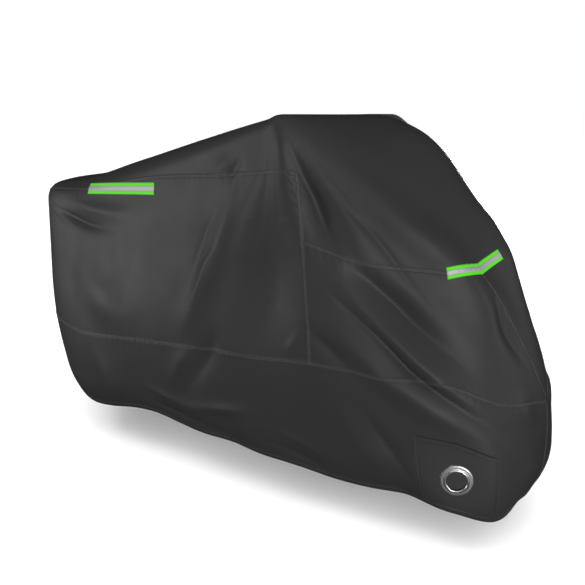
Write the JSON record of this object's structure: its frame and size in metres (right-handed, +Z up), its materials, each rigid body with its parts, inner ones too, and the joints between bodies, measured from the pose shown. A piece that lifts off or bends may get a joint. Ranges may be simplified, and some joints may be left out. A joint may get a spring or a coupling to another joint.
{
  "type": "motorcycle cover",
  "caption": "Fitted hollow cover of thin coated cloth in the draped shape of a parked motorcycle, with reflective tape strips and an open eyelet strip at each side of the nose.",
  "frame": {"origin": "middle of the cover's plan, at the height of the lowest point of its hem", "axes": "+X towards the nose of the cover, +Y towards its left side, +Z up"},
  "size_m": [2.04, 0.7337, 1.1109],
  "materials": {
    "cover_cloth": "woven polyester with a satin coated face",
    "tape_green": "matte fluorescent woven tape",
    "band_silver": "satin reflective band of fine glass beads",
    "eyelet_steel": "polished, slightly worn"
  },
  "bodies": {
    "root": {"top_panel": "cover_cloth", "side_rear_right": "cover_cloth", "side_front_right": "cover_cloth", "skirt_right": "cover_cloth", "eyelet_strip_right": "cover_cloth", "eyelet_right": "eyelet_steel", "tape_rear_right": "tape_green", "tape_front_right": "tape_green", "band_rear_right": "band_silver", "band_front_right": "band_silver", "side_rear_left": "cover_cloth", "side_front_left": "cover_cloth", "skirt_left": "cover_cloth", "eyelet_strip_left": "cover_cloth", "eyelet_left": "eyelet_steel", "tape_rear_left": "tape_green", "tape_front_left": "tape_green", "band_rear_left": "band_silver", "band_front_left": "band_silver"}
  },
  "joints": []
}
